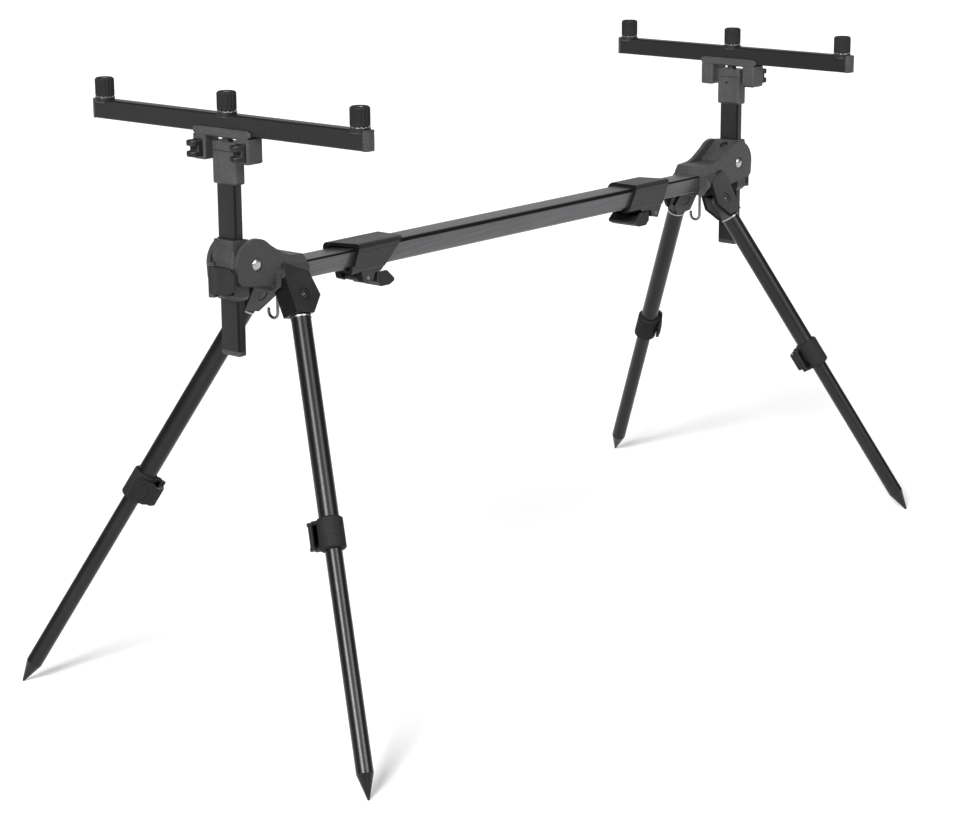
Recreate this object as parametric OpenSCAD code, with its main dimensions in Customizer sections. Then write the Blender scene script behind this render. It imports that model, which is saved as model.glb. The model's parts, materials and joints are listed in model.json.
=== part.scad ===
// Folding rod pod: a sliding centre bar, two heads, four telescopic legs,
// two folding posts and two lift-off buzz bars with three knobs each.
// Front end lies at -X, rear end at +X, left is +Y. The spike tips stand on z = 0.

/* [Pod] */
// Distance between the axes of the two posts
post_span = 788; // [740:1:860]
// Sideways lean of a leg in degrees
leg_splay = 27.3; // [24:0.1:30]
// Outward rake of a leg in degrees
leg_rake = 16.7; // [14:0.1:19]
// How much lower the rear buzz bar is set than the front one
rear_drop = 10.2; // [0:0.1:16]

/* [Centre bar] */
// Inner bar width
bar_w = 28; // [24:0.5:32]
// Inner bar height
bar_h = 17.6; // [16:0.1:20]
// Corner radius of the inner bar
bar_corner = 2.4; // [1.5:0.1:3]
// Wall of the inner bar
bar_wall = 1.6; // [1:0.1:2.5]
// Wall of the centre tube
tube_wall = 1.75; // [1.2:0.05:2.5]
// Gap between sliding bar and tube on each side
slide_gap = 0.25; // [0.15:0.05:0.4]
// Distance from pod centre to the end of the centre tube
tube_reach = 240; // [230:1:244]
// Length of inner bar that sits inside the tube at rest
bar_overlap = 120; // [90:1:160]

/* [Bar clamp] */
// Wall of the clamp around the tube
clamp_wall = 3.4; // [2.5:0.1:4.5]
// Length of tube covered by the clamp
clamp_grip = 64.5; // [60:0.5:70]
// Length of the clamp along the bar
clamp_len = 72; // [68:1:78]
// Lean of the clamp ends over one face, opposite on the two sides
clamp_lean = 12; // [6:0.5:14]
// Distance from the tube end back to the lever pin
clamp_pin_back = 10; // [6:0.5:14]
// Width of the cam lever between the clamp lugs
lever_w = 21; // [16:0.5:24]
// Radius of the lever pins
lever_pin_r = 2; // [1.5:0.1:2.5]

/* [Head] */
// Distance from post axis to the pivot bolt along the bar
pivot_inset = 12; // [11.5:0.1:14]
// Radius of the rounded cheeks
cheek_r = 24; // [23:0.5:26]
// Thickness of a cheek
cheek_t = 5; // [4:0.1:6]
// Distance from post axis to the head mouth
mouth_inset = 78; // [74:1:82]
// Roof thickness over the inner bar
roof_t = 9.6; // [8:0.1:12]
// Floor thickness under the inner bar
floor_t = 4.2; // [3.5:0.1:6]
// Gap round a bar or insert that is fixed in its seat
seat_gap = 0.1; // [0.05:0.01:0.2]
// Radius of the pivot bolt
bolt_r = 3; // [2.5:0.1:3.4]
// Radial running gap on pins and bolts
run_gap = 0.06; // [0.03:0.01:0.1]
// Height of the bar centre above the leg hinge pins
bar_rise = 20.5; // [19:0.5:24]

/* [Legs] */
// Front leg length from hinge pin to spike tip
front_leg = 475; // [450:1:500]
// Rear leg length from hinge pin to spike tip
rear_leg = 415; // [390:1:440]
// Distance from a front spike tip to the lower edge of its lock
front_lock_at = 230; // [215:1:245]
// Distance from a rear spike tip to the lower edge of its lock
rear_lock_at = 198; // [183:1:213]
// Distance from post axis to the leg hinge along the bar
hinge_inset = 57.3; // [54:0.1:60]
// Sideways distance from the bar side to the hinge
hinge_side = 14; // [12:0.5:18]
// Distance from hinge pin to the shoulder of the knuckle
knuckle_drop = 20; // [18:0.5:24]
// Thickness of the knuckle tongue
tongue_t = 11; // [9:0.5:13]
// Thickness of a yoke plate
plate_t = 4.2; // [3.5:0.1:5]
// Radius of the leg hinge pins
hinge_pin_r = 2.5; // [2:0.1:3]
// Diameter of the upper leg tube
upper_d = 19; // [18:0.1:20]
// Diameter of the lower leg tube
lower_d = 16; // [14.5:0.1:16]
// Wall of the leg tubes
leg_wall = 1.2; // [1:0.05:1.3]
// Length of lower tube above the lower edge of the lock
lower_overlap = 60; // [50:1:75]
// Length of the spike
spike_len = 26; // [20:0.5:32]
// Radius of the rounded spike tip
tip_r = 1.2; // [0.8:0.1:2]

/* [Leg locks] */
// Height of a leg lock
lock_h = 30; // [26:0.5:34]
// Outer radius of the lock sleeve
lock_r = 12.5; // [12.2:0.1:13.5]
// Height of the lock lever at its hinge
lock_lever_h = 20; // [16:0.5:22]
// Turn of the front left lock round its leg in degrees
turn_fl = 138; // [130:1:146]
// Turn of the front right lock round its leg in degrees
turn_fr = -48; // [-56:1:-40]
// Turn of the rear left lock round its leg in degrees
turn_rl = 40; // [32:1:48]
// Turn of the rear right lock round its leg in degrees
turn_rr = 157; // [149:1:165]

/* [Posts] */
// Post width across the pod
post_w = 24; // [22:0.1:25]
// Post depth along the pod
post_d = 10; // [9:0.1:11]
// Wall of the post tube
post_wall = 1.5; // [1:0.1:2]
// Length of the post below the saddle
post_len = 204; // [195:1:215]
// Height of the front saddle above the pivot bolt
deck_rise = 118; // [114:0.5:124]
// Gap between the post and its collar on each side
post_gap = 0.25; // [0.15:0.05:0.4]
// Width of the post collar between the cheeks
collar_w = 31; // [30:0.5:34]
// Height of the collar above the pivot bolt
collar_up = 24; // [21:0.5:26]
// Depth of the collar below the pivot bolt
collar_down = 33; // [30:0.5:36]
// Height of the post cap
cap_h = 39.5; // [36:0.5:44]

/* [Buzz bars] */
// Distance between the outer knobs of the front buzz bar
front_span = 332; // [300:1:360]
// Distance between the outer knobs of the rear buzz bar
rear_span = 292; // [260:1:320]
// Length of a buzz bar beyond its outer knobs
buzz_over = 14.6; // [12:0.1:18]
// Buzz bar depth along the pod
buzz_d = 12.5; // [11.5:0.1:13.5]
// Buzz bar height
buzz_h = 18.4; // [16:0.1:20]
// Wall of the buzz bar tube
buzz_wall = 1.4; // [1:0.1:2]
// Overall width of the saddle
saddle_w = 75; // [70:1:80]
// Width of a saddle lug
lug_w = 16.5; // [15:0.5:18]
// Height of a saddle lug
lug_h = 22.5; // [20:0.5:25]
// Travel of a release button
button_travel = 4; // [2:0.5:5]
// Knob diameter
knob_d = 18.3; // [17:0.1:20]
// Knob height
knob_h = 17.4; // [15:0.1:19]
// Radius of the threaded hole in each insert
thread_r = 4.3; // [4:0.05:4.8]

/* [Hook] */
// Radius of the hook wire
wire_r = 1.5; // [1.2:0.1:2]
// Radius of the hook bowl
bowl_r = 6; // [5:0.1:8]
// Depth of the hook bowl below the head
hook_drop = 26; // [22:0.5:30]
// Distance from post axis to the hook axis
hook_inset = 58; // [54:0.5:62]

/* [Hidden] */
$fn = 72;
fine = 0.01;
big = 400;

post_x = post_span / 2;
pivot_x = post_x - pivot_inset;
hinge_x = post_x - hinge_inset;
mouth_x = post_x - mouth_inset;
hook_x = post_x - hook_inset;

hinge_y = bar_w / 2 + hinge_side;
leg_fall = cos(leg_rake) * cos(leg_splay);
hinge_z = (front_leg - tip_r) * leg_fall + tip_r;
foot_front = -hinge_x - (front_leg - tip_r) * sin(leg_rake);
foot_rear = hinge_x + (rear_leg - tip_r) * sin(leg_rake);
foot_lift = (front_leg - rear_leg) * leg_fall;
pitch = atan2(foot_lift, foot_rear - foot_front);
foot_gap = sqrt(pow(foot_lift, 2) + pow(foot_rear - foot_front, 2));
bar_z = hinge_z + bar_rise;

collar_back = 1.4;
fold_gap = 3;
collar_in = pivot_inset - post_d / 2 - post_gap - collar_back;
roof_z = bar_z + bar_h / 2 + seat_gap + roof_t;
pivot_z = roof_z - collar_in + fold_gap;
floor_z = bar_z - bar_h / 2 - seat_gap - floor_t;

tube_w = bar_w + 2 * (slide_gap + tube_wall);
tube_h = bar_h + 2 * (slide_gap + tube_wall);
tube_corner = bar_corner + slide_gap + tube_wall;

side_gap = 0.5;
head_w = collar_w + 2 * (side_gap + cheek_t);
barrel_r = 12;
slot_back = barrel_r + 1;
slot_gap = 0.4;
slot_r = cheek_r + slot_gap;
tip_up = 2;
end_wall = 3.5;
bar_end_x = pivot_x - slot_r - end_wall;
skirt_y = hinge_y - 1.5;
skirt_z = hinge_z + 22;
mouth_at = mouth_x - pivot_x;
cheek_low = 17.5;
cheek_fall = 5.5;
cheek_edge = 4;
roof_at = roof_z - pivot_z;
roof_edge = 3;

bolt_head_r = 5.6;
bolt_head_h = 2.4;
bolt_sink = 0.8;
bolt_recess = 0.8;
dome_r = 8.6;
nut_round = 0.4;

yoke_gap = 0.3;
yoke_in = tongue_t / 2 + yoke_gap;
yoke_out = yoke_in + plate_t;
swing_r = knuckle_drop - 0.35;
tongue_r = 8;
slot_top = tongue_r + 1.4;
dimple_r = 6;
dimple_t = 0.9;
bevel = 1.6;

ring_h = 1.8;
upper_r = upper_d / 2;
ring_r = upper_r + 0.3;
knuckle_plug = 16;
lower_r = lower_d / 2;
upper_top = knuckle_drop + ring_h;
upper_seat = 9;
spike_rim = 2;
spike_plug = 14;
slip = 0.3;

// Settings of a leg: its length and its lock, both from the spike tip
front_set = [front_leg, front_lock_at];
rear_set = [rear_leg, rear_lock_at];
function lock_low(leg) = leg[0] - leg[1];
function lock_mid(leg) = lock_low(leg) - lock_h / 2;

// Settings of an end: how far its saddle is lowered and its knob span
front_end = [0, front_span];
rear_end = [rear_drop, rear_span];
function buzz_long(end) = end[1] + 2 * buzz_over - buzz_d;

lock_pin_r = 1.3;
lock_pin_out = 5.6;
lock_pin_x = lock_r + lock_pin_out;
lock_barrel_r = 2.5;
lock_ear_r = 3.2;
pad_y = lock_r + 0.5;
pad_t = 3;
pad_reach = 10.5;
pad_half = 12;
hex_r = 8.5;
hex_rim = 1.5;
hex_rim_h = 0.8;
hex_sink = 0.4;

deck_z = pivot_z + deck_rise;
cap_gap = 3.8;
cap_roof = 6;
cap_corner = 4;
cap_edge = 2.2;
cap_line_at = 8.5;
cap_line = 0.8;
post_corner = 2.2;
post_bore = 1;
cap_w = post_w + 7;
cap_d = post_d + 4.3;
foot_h = 5;
plug_h = 12;
saddle_floor = 3;
saddle_lip = 2.3;
lip_h = 5.5;
bar_low = saddle_floor;
bar_top = bar_low + buzz_h;
saddle_d = buzz_d + 2 * (saddle_lip + seat_gap);
lug_d = 20;
lug_shift = 0.5;
lug_y = saddle_w / 2 - lug_w / 2 - 1;
stud_r = 5;
spigot_r = 3.5;
button_w = lug_w - 5;
button_h = lug_h - 7;
button_out = 12;
button_in = 6;
button_gap = 0.3;
button_rim = 5.4;
button_edge = 2;
button_groove = 6.5;
button_round = 4.5;

end_plug = 3.5;
insert_r = 6;
insert_sink = 1;
stem_r = 4.2;
stem_gap = 0.2;
thread_floor = 1.5;
flange_d = knob_d + 0.6;
flange_over = 3;
flange_up = 2;
knob_gap = 0.8;
knob_low = bar_top + flange_up + knob_gap;
knob_edge = 1.5;
flute_n = 16;
flute_r = 1.5;
flute_t = 0.5;
flute_end = 2.4;

ramp_in = 22;
ramp_low = 4;
ramp_tilt = atan2(collar_up - ramp_low, collar_in + ramp_in);
ramp_dip_r = 5;
lever_gap = 0.4;
lever_wing_gap = 1;
post_lever_h = 25;
post_lever_low = -26;
post_lever_t = 6.5;
post_pin_r = 1.75;
post_ear_r = 4;
post_ear_h = 4;
post_pin_out = 0.6;
post_pin_side = 3.9;
lever_sink = 0.8;
collar_front = 8;
collar_edge = 3;
collar_bend = 3.5;
collar_round = 7;
collar_out = pivot_inset + post_d / 2 + post_gap + collar_front;
post_pin_x = collar_out + post_pin_out;
post_pin_y = collar_w / 2 - post_pin_side;

clamp_w = tube_w + 2 * (seat_gap + clamp_wall);
clamp_h = tube_h + 2 * (seat_gap + clamp_wall);
clamp_in = tube_reach - clamp_grip;
clamp_out = clamp_in + clamp_len;
clamp_corner = 5;
clamp_edge = clamp_wall + seat_gap + tube_corner;
clamp_pin_x = tube_reach - clamp_pin_back;
clamp_pin_drop = 6.2;
clamp_drop = clamp_h / 2 + clamp_pin_drop;
clamp_low = -clamp_h / 2;
clamp_lug_r = 5;
lug_in = lever_w / 2 + lever_gap;
lug_out = clamp_w / 2 - 1;
cam_r = 4.6;
cam_neck = 18;
paddle_in = 12.5;
paddle_out = 37;
paddle_low = 11;
paddle_top = 3.6;
finger_r = 9;
finger_wall = 3;

black = [0.06, 0.06, 0.065];
charcoal = [0.1, 0.1, 0.105];
gunmetal = [0.2, 0.2, 0.21];
steel = [0.72, 0.72, 0.74];

// Stands the level pod on its four spikes: the shorter rear legs pitch it
module stand()
    translate([-foot_gap / 2, 0, tip_r]) rotate([0, pitch, 0])
        translate([-foot_front, 0, -tip_r]) children();

// Placement of an end: the rear is drawn in place, the front is turned about
module at_rear() stand() children();
module at_front() stand() rotate([0, 0, 180]) children();

// Frame of a leg hinge at the rear end, side 1 left and -1 right
module at_hinge(side)
    translate([hinge_x, side * hinge_y, hinge_z]) rotate([side * leg_splay, 0, 0]) children();

// Frame of a leg with the leg running down its own -Z
module at_leg(side) at_hinge(side) rotate([0, -leg_rake, 0]) children();

module at_pivot() translate([pivot_x, 0, pivot_z]) children();

// Frame of the saddle underside above a post
module at_deck(end) translate([post_x, 0, deck_z - end[0]]) children();

// Flat outlines drawn in XZ, XY or YZ and pulled out about the middle
module along_y(len) rotate([90, 0, 0]) linear_extrude(len, center = true) children();
module along_x(len) rotate([90, 0, 90]) linear_extrude(len, center = true) children();
module along_z(len) linear_extrude(len, center = true) children();

module round_rect(w, h, r) {
    square([w - 2 * r, h], center = true);
    square([w, h - 2 * r], center = true);
    for (x = [-1, 1], y = [-1, 1])
        translate([x * (w / 2 - r), y * (h / 2 - r)]) circle(r);
}

// Rectangle with its four corners cut by c
module cut_rect(w, h, c)
    polygon([[-w / 2 + c, -h / 2], [w / 2 - c, -h / 2], [w / 2, -h / 2 + c], [w / 2, h / 2 - c],
        [w / 2 - c, h / 2], [-w / 2 + c, h / 2], [-w / 2, h / 2 - c], [-w / 2, -h / 2 + c]]);

// Rectangular tube along X between two places
module bar_tube(x0, x1, w, h, r, wall) {
    translate([(x0 + x1) / 2, 0, bar_z]) difference() {
        along_x(x1 - x0) round_rect(w, h, r);
        along_x(x1 - x0 + 2) round_rect(w - 2 * wall, h - 2 * wall, r - wall);
    }
}

// Centre bar
module tube_shape() bar_tube(-tube_reach, tube_reach, tube_w, tube_h, tube_corner, tube_wall);

module inner_bar_shape()
    bar_tube(tube_reach - bar_overlap, bar_end_x, bar_w, bar_h, bar_corner, bar_wall);

// Bar clamp, drawn at the rear end. Its ends lean out on the left and in on the right
module clamp_band(side)
    polygon([[clamp_in - side * clamp_lean / 2, 1], [clamp_in + side * clamp_lean / 2, -1],
        [clamp_out + side * clamp_lean / 2, -1], [clamp_out - side * clamp_lean / 2, 1]]);

module clamp_sleeve() {
    translate([0, 0, bar_z]) intersection() {
        translate([(clamp_in + clamp_out) / 2, 0, 0]) along_x(2 * clamp_len)
            round_rect(clamp_w, clamp_h, clamp_corner);
        union() {
            for (s = [-1, 1]) translate([0, 0, s * clamp_h / 2]) linear_extrude(2 * clamp_edge, center = true)
                scale([1, clamp_w / 2]) clamp_band(s);
            for (s = [-1, 1]) translate([0, s * clamp_w / 2, 0]) rotate([90, 0, 0])
                linear_extrude(2 * clamp_edge, center = true) scale([1, clamp_h / 2]) clamp_band(s);
        }
    }
}

module clamp_lugs() {
    translate([0, 0, bar_z]) intersection() {
        translate([clamp_pin_x, 0, 0]) along_y(2 * lug_out) polygon([
            [11, clamp_low + 6], [-32, clamp_low + 6], [-26, clamp_low - 1], [-10, clamp_low - 1.5],
            [-6, -clamp_drop - 3], [3, -clamp_drop - clamp_lug_r], [7, -clamp_drop - 3]]);
        union() for (s = [-1, 1]) translate([clamp_pin_x, s * (lug_in + lug_out) / 2, 0])
            cube([200, lug_out - lug_in, 100], center = true);
    }
}

module clamp_shape() {
    difference() {
        union() {
            clamp_sleeve();
            clamp_lugs();
        }
        translate([clamp_pin_x, 0, bar_z]) along_x(300)
            round_rect(tube_w + 2 * seat_gap, tube_h + 2 * seat_gap, tube_corner);
        translate([clamp_pin_x, 0, bar_z - clamp_drop]) rotate([90, 0, 0])
            cylinder(r = lever_pin_r + seat_gap, h = 100, center = true);
    }
}

module clamp_pin_shape()
    translate([clamp_pin_x, 0, bar_z - clamp_drop]) rotate([90, 0, 0])
        cylinder(r = lever_pin_r, h = 2 * lug_out, center = true);

module bar_lever_shape() {
    translate([clamp_pin_x, 0, bar_z - clamp_drop]) difference() {
        union() {
            rotate([90, 0, 0]) cylinder(r = cam_r, h = lever_w, center = true);
            along_y(lever_w) polygon([[0, cam_r - 0.2], [-cam_neck, cam_r - 0.4],
                [-cam_neck, 2 - paddle_low], [-6, 0.6 - cam_r], [0, 0.2 - cam_r]]);
            along_y(2 * lug_out) polygon([[-paddle_in - 0.5, paddle_top], [-paddle_out + 10, paddle_top],
                [-paddle_out + 6, 0], [-paddle_out, -5.5], [-paddle_out + 0.5, 3 - paddle_low],
                [-paddle_out + 7, -paddle_low], [-cam_neck, -paddle_low], [-paddle_in, 5 - paddle_low]]);
        }
        rotate([90, 0, 0]) cylinder(r = lever_pin_r + run_gap, h = 100, center = true);
        translate([-paddle_out + 10, 0, finger_r]) rotate([90, 0, 0])
            cylinder(r = finger_r, h = 2 * (lug_out - finger_wall), center = true);
    }
}

// Head: cheeks, bar socket and two leg yokes
module cheek_outline() {
    intersection() {
        circle(cheek_r);
        translate([-2 * cheek_r, 0]) square([4 * cheek_r, 2 * cheek_r]);
    }
    polygon([[cheek_r, 0], [cheek_r - 1, cheek_edge - cheek_low], [cheek_r - 1 - cheek_edge, -cheek_low],
        [-22, -cheek_low - cheek_fall], [-24, floor_z - pivot_z + 4],
        [mouth_at + 2, floor_z - pivot_z + 4], [mouth_at, -8], [mouth_at + 1.5, -4],
        [mouth_at + 6, roof_at - 0.6], [-50, roof_at], [-42, roof_at + 1], [-34, roof_at + 4],
        [-10, cheek_r - 3.2], [0, cheek_r - 4]]);
}

module socket_block() {
    long = bar_end_x + end_wall - mouth_x;
    translate([mouth_x + long / 2, 0, 0]) intersection() {
        along_x(long) polygon([[roof_edge - head_w / 2, roof_z], [head_w / 2 - roof_edge, roof_z],
            [head_w / 2, roof_z - roof_edge], [head_w / 2, skirt_z + 8], [skirt_y, skirt_z],
            [skirt_y, skirt_z - 4], [bar_w / 2 + 6, floor_z], [-bar_w / 2 - 6, floor_z],
            [-skirt_y, skirt_z - 4], [-skirt_y, skirt_z], [-head_w / 2, skirt_z + 8],
            [-head_w / 2, roof_z - roof_edge]]);
        along_z(2 * deck_z) polygon([[-long / 2, -skirt_y + 3], [-long / 2 + 4, -skirt_y],
            [long / 2 - 14, -skirt_y], [long / 2, -head_w / 2 + fine], [long / 2, head_w / 2 - fine],
            [long / 2 - 14, skirt_y], [-long / 2 + 4, skirt_y], [-long / 2, skirt_y - 3]]);
        translate([-mouth_at - long / 2, 0, pivot_z]) along_y(big) polygon([[mouth_at, -60], [mouth_at, -8],
            [mouth_at + 1.5, -4], [mouth_at + 6, roof_at - 0.6], [-50, roof_at], [0, roof_at], [0, -60]]);
    }
}

// Side outline of a yoke slab in the leg frame
module yoke_outline()
    polygon([[21, 14], [12.5, -swing_r + 0.2], [-swing_r * sin(27), -swing_r * cos(27)],
        [-swing_r * cos(4), swing_r * sin(4)], [-9, 24], [20, 28]]);

// Side outline of a knuckle slot in the hinge frame, open below and inwards, closed on the outer side
module slot_outline() {
    translate([-140, slot_top - 100]) square([140, 100]);
    rotate(leg_rake) translate([tongue_r + yoke_gap - 40, slot_top - 100]) square([40, 100]);
}

module yoke_slab(side) {
    at_leg(side) difference() {
        along_y(2 * yoke_out) yoke_outline();
        for (s = [-1, 1]) translate([0, s * (yoke_out + 2 - dimple_t), 0]) rotate([90, 0, 0])
            cylinder(r = dimple_r, h = 4, center = true);
    }
}

module head_shape() {
    difference() {
        union() {
            at_pivot() along_y(head_w) cheek_outline();
            socket_block();
            for (side = [-1, 1]) yoke_slab(side);
        }
        // open space for the post collar between the cheeks
        at_pivot() translate([big / 2 - slot_back, 0, 0])
            cube([big, collar_w + 2 * side_gap, big], center = true);
        at_pivot() rotate([90, 0, 0]) cylinder(r = slot_r, h = collar_w + 2 * side_gap, center = true);
        // open space above the roof for the folded post
        at_pivot() translate([-big / 2, 0, big / 2 + roof_z - pivot_z])
            cube([big + 2, collar_w + 2 * side_gap, big], center = true);
        // socket for the inner bar
        translate([bar_end_x - big / 2 + seat_gap, 0, bar_z]) along_x(big)
            round_rect(bar_w + 2 * seat_gap, bar_h + 2 * seat_gap, bar_corner);
        for (side = [-1, 1]) at_hinge(side) along_y(2 * yoke_in) slot_outline();
        // bores for the pivot bolt, the hinge pins and the hook
        at_pivot() rotate([90, 0, 0]) cylinder(r = bolt_r + seat_gap, h = 100, center = true);
        for (s = [-1, 1]) at_pivot() translate([0, s * (head_w / 2 - bolt_sink + 5), 0]) rotate([90, 0, 0])
            cylinder(r = bolt_head_r + bolt_recess, h = 10, center = true);
        for (side = [-1, 1]) at_hinge(side) rotate([90, 0, 0])
            cylinder(r = hinge_pin_r + seat_gap, h = 2 * yoke_out + 2, center = true);
        translate([hook_x, 0, floor_z - 1]) cylinder(r = wire_r + run_gap, h = floor_t + 2);
        translate([hook_x, 0, floor_z + floor_t - 1.6]) cylinder(r = wire_r + 1.8, h = 3);
    }
}

module bolt_shape() {
    at_pivot() rotate([90, 0, 0]) {
        cylinder(r = bolt_r, h = head_w - 2 * bolt_sink, center = true);
        translate([0, 0, head_w / 2 - bolt_sink]) intersection() {
            cylinder(r = bolt_head_r, h = 4);
            translate([0, 0, bolt_head_h - dome_r]) sphere(r = dome_r);
        }
    }
}

module nut_shape() {
    at_pivot() rotate([90, 0, 0]) translate([0, 0, bolt_sink - head_w / 2 - bolt_head_h])
        intersection() {
            cylinder(r = bolt_head_r, h = bolt_head_h - seat_gap);
            translate([0, 0, dome_r]) sphere(r = dome_r + nut_round);
        }
}

module hinge_pin_shape(side)
    at_hinge(side) rotate([90, 0, 0])
        cylinder(r = hinge_pin_r, h = 2 * (yoke_out - dimple_t), center = true);

module fastener_shape() {
    bolt_shape();
    for (side = [-1, 1]) hinge_pin_shape(side);
}

// Swivel hook hanging from the floor of the head, its tip turned about the shank
module hook_shape(turn) {
    translate([hook_x, 0, floor_z]) rotate([0, 0, turn]) {
        translate([0, 0, -hook_drop]) cylinder(r = wire_r, h = hook_drop + floor_t - 0.2);
        translate([0, 0, floor_t - 1.4]) cylinder(r = wire_r + 1.5, h = 1.2);
        translate([-bowl_r, 0, -hook_drop + fine]) rotate([90, 0, 0]) rotate([0, 0, 180])
            rotate_extrude(angle = 180) translate([bowl_r, 0]) circle(wire_r);
        translate([-2 * bowl_r, 0, -hook_drop]) cylinder(r = wire_r, h = tip_up);
        translate([-2 * bowl_r, 0, tip_up - hook_drop]) sphere(wire_r);
    }
}

// Post collar, drawn in the frame of the pivot bolt
module collar_solid() {
    intersection() {
        along_y(100) polygon([[collar_in, -collar_down], [collar_out - collar_front, -collar_down],
            [collar_out, collar_front - collar_down], [collar_out, collar_bend - 2],
            [collar_out - 4, collar_up], [collar_in, collar_up]]);
        along_x(200) polygon([[collar_edge - collar_w / 2, -collar_down],
            [collar_w / 2 - collar_edge, -collar_down], [collar_w / 2, collar_edge + 1 - collar_down],
            [collar_w / 2, collar_bend],
            [collar_w / 2 - collar_edge, collar_up], [collar_edge - collar_w / 2, collar_up],
            [-collar_w / 2, collar_bend], [-collar_w / 2, collar_edge + 1 - collar_down]]);
        translate([collar_out - collar_w, 0, 0]) along_z(200)
            round_rect(2 * collar_w, collar_w, collar_round);
    }
    rotate([90, 0, 0]) cylinder(r = barrel_r, h = collar_w, center = true);
    difference() {
        along_y(collar_w) polygon([[collar_in, collar_up], [-ramp_in, ramp_low], [-ramp_in, 0], [-8, -8],
            [collar_in, -8]]);
        translate([collar_in - 8, 0, collar_up - 3]) rotate([0, -ramp_tilt, 0])
            cylinder(r = ramp_dip_r, h = 12, center = true);
    }
    for (z = [post_lever_low - post_ear_h, post_lever_low + post_lever_h])
        translate([post_pin_x, -post_pin_y, z]) {
            cylinder(r = post_ear_r, h = post_ear_h);
            translate([-6, -2, 0]) cube([6, 4, post_ear_h]);
        }
}

module collar_shape() {
    at_pivot() difference() {
        collar_solid();
        translate([pivot_inset, 0, 0]) along_z(300)
            round_rect(post_d + 2 * post_gap, post_w + 2 * post_gap, 2);
        rotate([90, 0, 0]) cylinder(r = bolt_r + run_gap, h = 100, center = true);
        // recess for the lever
        translate([collar_out + 10 - lever_sink, 0, post_lever_low + post_lever_h / 2])
            cube([20, 100, post_lever_h + 2 * lever_gap], center = true);
        translate([post_pin_x, -post_pin_y, post_lever_low - lever_gap])
            cylinder(r = post_ear_r + lever_gap, h = post_lever_h + 2 * lever_gap);
        translate([post_pin_x, -post_pin_y, post_lever_low - 20])
            cylinder(r = post_pin_r + run_gap, h = 60);
    }
}

// Lever over the outer face of the collar, hinged on the -Y side. Its wing passes in front of a cheek
module post_lever_shape() {
    face = collar_out - lever_sink + lever_gap;
    wing = cheek_r + lever_wing_gap;
    at_pivot() difference() {
        union() {
            translate([post_pin_x, -post_pin_y, post_lever_low]) cylinder(r = post_ear_r, h = post_lever_h);
            translate([0, 0, post_lever_low + post_lever_h / 2]) {
                along_z(post_lever_h) polygon([[face, -post_pin_y], [face, collar_w / 2 - 1],
                    [wing, collar_w / 2], [wing, collar_w / 2 - 2],
                    [wing + post_lever_t - 1, collar_w / 2 - 2], [face + post_lever_t, 0],
                    [face + post_lever_t - 2, -post_pin_y]]);
                intersection() {
                    along_x(200) polygon([[0, -post_lever_h / 2], [11, -post_lever_h / 2],
                        [collar_w / 2 + 4, -post_lever_h / 2 + 6], [collar_w / 2 + 4, post_lever_h / 2 - 4],
                        [collar_w / 2, post_lever_h / 2], [0, post_lever_h / 2]]);
                    along_z(100) polygon([[wing, 0], [wing, collar_w / 2 + 4], [wing + 4, collar_w / 2 + 4],
                        [wing + post_lever_t, collar_w / 2 - 2], [wing + post_lever_t, 0]]);
                }
            }
        }
        translate([post_pin_x, -post_pin_y, 0])
            cylinder(r = post_pin_r + run_gap, h = 300, center = true);
    }
}

module post_pin_shape()
    at_pivot() translate([post_pin_x, -post_pin_y, post_lever_low - post_ear_h])
        cylinder(r = post_pin_r, h = post_lever_h + 2 * post_ear_h);

// Post, foot and cap, drawn under the saddle
module post_shape(end) {
    long = post_len - foot_h - cap_gap - cap_roof;
    at_deck(end) translate([0, 0, -cap_gap - cap_roof - long / 2]) difference() {
        along_z(long) round_rect(post_d, post_w, post_corner);
        along_z(long + 2) round_rect(post_d - 2 * post_wall, post_w - 2 * post_wall, post_bore);
    }
}

module foot_shape(end) {
    at_deck(end) translate([0, 0, -post_len]) {
        intersection() {
            translate([0, 0, foot_h / 2]) along_z(foot_h) round_rect(post_d, post_w, post_corner);
            translate([0, 0, foot_h / 2 + 10]) along_y(60) cut_rect(post_d, foot_h + 20, bevel);
            translate([0, 0, foot_h / 2 + 10]) along_x(60) cut_rect(post_w, foot_h + 20, bevel);
        }
        translate([0, 0, foot_h + plug_h / 2]) along_z(plug_h)
            round_rect(post_d - 2 * (post_wall + seat_gap), post_w - 2 * (post_wall + seat_gap), post_bore);
    }
}

module cap_shape(end) {
    at_deck(end) difference() {
        union() {
            translate([0, 0, -cap_gap - cap_h / 2]) intersection() {
                along_z(cap_h) round_rect(cap_d, cap_w, cap_corner);
                translate([0, 0, 10]) along_y(60) cut_rect(cap_d, cap_h + 20, cap_edge);
                translate([0, 0, 10]) along_x(60) cut_rect(cap_w, cap_h + 20, cap_edge);
            }
            translate([0, 0, -cap_gap - fine]) cylinder(r = stud_r, h = cap_gap + fine);
            cylinder(r = spigot_r, h = saddle_floor - 0.3);
        }
        translate([0, 0, -cap_gap - cap_roof - 50]) along_z(100)
            round_rect(post_d + 2 * seat_gap, post_w + 2 * seat_gap, post_corner);
        translate([0, 0, -cap_gap - cap_line_at]) difference() {
            cube([60, 60, cap_line], center = true);
            cube([cap_d - 1, cap_w - 1, 2 * cap_line], center = true);
        }
    }
}

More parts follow.
